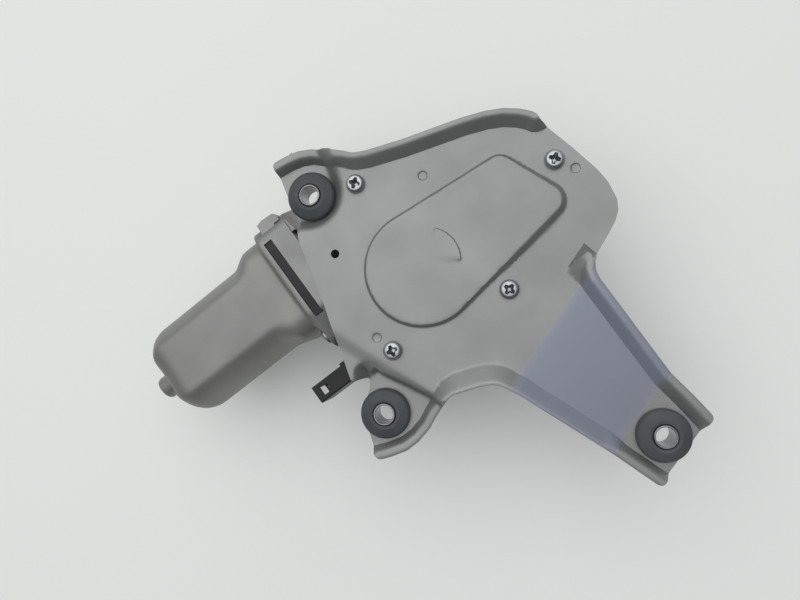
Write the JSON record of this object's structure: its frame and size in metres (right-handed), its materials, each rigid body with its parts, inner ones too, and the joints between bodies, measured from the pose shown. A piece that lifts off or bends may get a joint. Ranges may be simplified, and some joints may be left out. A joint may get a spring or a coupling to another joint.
{
  "type": "wiper motor",
  "caption": "Rear wiper gearmotor with a drawn steel bracket on rubber mounts, a flat-sided motor can, a worm drive and a swinging output shaft.",
  "frame": {"origin": "on the wiper shaft's axis, at the bare journal between its taper and the retaining ring", "axes": "+Z along the wiper shaft from its free end towards the cover bracket, +X along the motor from the can towards the gears"},
  "size_m": [0.1953, 0.1866, 0.0675],
  "materials": {
    "zinc_plate": "satin zinc plate",
    "die_cast": "as cast",
    "can_steel": "satin zinc plate",
    "bright_steel": "bright zinc",
    "ground_steel": "ground",
    "rubber": "matt",
    "black_plastic": "matt",
    "gear_plastic": "satin",
    "lamination": "matt",
    "copper": "enamelled wire",
    "bronze": "sintered",
    "ferrite": "matt",
    "carbon": "matt"
  },
  "bodies": {
    "housing": {"cover_bracket": "zinc_plate", "cover_gasket": "rubber", "gear_housing": "die_cast", "cover_screws": "bright_steel", "yoke_screws": "bright_steel", "grommet_left": "rubber", "grommet_lower": "rubber", "grommet_right": "rubber", "sleeve_left": "bright_steel", "sleeve_lower": "bright_steel", "sleeve_right": "bright_steel", "motor_can": "can_steel", "magnet_upper": "ferrite", "magnet_lower": "ferrite", "rear_bearing": "bronze", "front_bearing": "bronze", "worm_bearing": "bronze", "thrust_ball": "ground_steel", "brush_holder": "black_plastic", "brush_spring_upper": "bright_steel", "brush_spring_lower": "bright_steel", "connector": "black_plastic", "connector_terminals": "bronze", "park_contacts": "bronze", "wheel_axle": "ground_steel", "shaft_bush_upper": "bronze", "shaft_bush_lower": "bronze", "shaft_seal": "rubber", "shaft_washer": "bright_steel"},
    "wheel": {"worm_wheel": "gear_plastic", "contact_disc": "bronze"},
    "armature": {"armature_shaft": "ground_steel", "armature_core": "lamination", "armature_windings": "copper", "commutator": "copper"},
    "output": {"output_shaft": "ground_steel", "output_gear": "ground_steel", "retaining_ring": "bright_steel"},
    "lever": {"swing_lever": "bright_steel", "sector_pin": "ground_steel"},
    "link": {"sector_link": "bright_steel", "crank_pin": "ground_steel"},
    "brush_upper": {"brush_upper": "carbon"},
    "brush_lower": {"brush_lower": "carbon"}
  },
  "joints": [
    {"name": "armature_spin", "type": "hinge", "parent": "housing", "child": "armature", "pos_m": [-0.1, 0.03, 0.022], "axis": [1, 0, 0], "continuous": true},
    {"name": "wheel_spin", "type": "hinge", "parent": "housing", "child": "wheel", "pos_m": [-0.042, 0, 0.022], "axis": [0, 0, 1], "continuous": true},
    {"name": "output_swing", "type": "hinge", "parent": "housing", "child": "output", "pos_m": [0, 0, 0], "axis": [0, 0, 1], "range_deg": [0, 145.35]},
    {"name": "lever_swing", "type": "hinge", "parent": "housing", "child": "lever", "pos_m": [0, 0, 0.043], "axis": [0, 0, 1], "range_deg": [0, 67.9]},
    {"name": "link_swing", "type": "hinge", "parent": "lever", "child": "link", "pos_m": [-0.00879, -0.01513, 0.04], "axis": [0, 0, 1], "range_deg": [-58.11, 0]},
    {"name": "brush_upper_slide", "type": "slide", "parent": "housing", "child": "brush_upper", "axis": [0, 1, 0], "range_m": [0, 0.001], "stiffness_N_per_m": 80, "springref_m": -0.004},
    {"name": "brush_lower_slide", "type": "slide", "parent": "housing", "child": "brush_lower", "axis": [0, -1, 0], "range_m": [0, 0.001], "stiffness_N_per_m": 80, "springref_m": -0.004}
  ],
  "couplings": [
    {"joint": "wheel_spin", "follows": "armature_spin", "ratio": 0.02},
    {"joint": "lever_swing", "follows": "output_swing", "ratio": 0.46706},
    {"joint": "link_swing", "follows": "output_swing", "ratio": -0.39971}
  ]
}
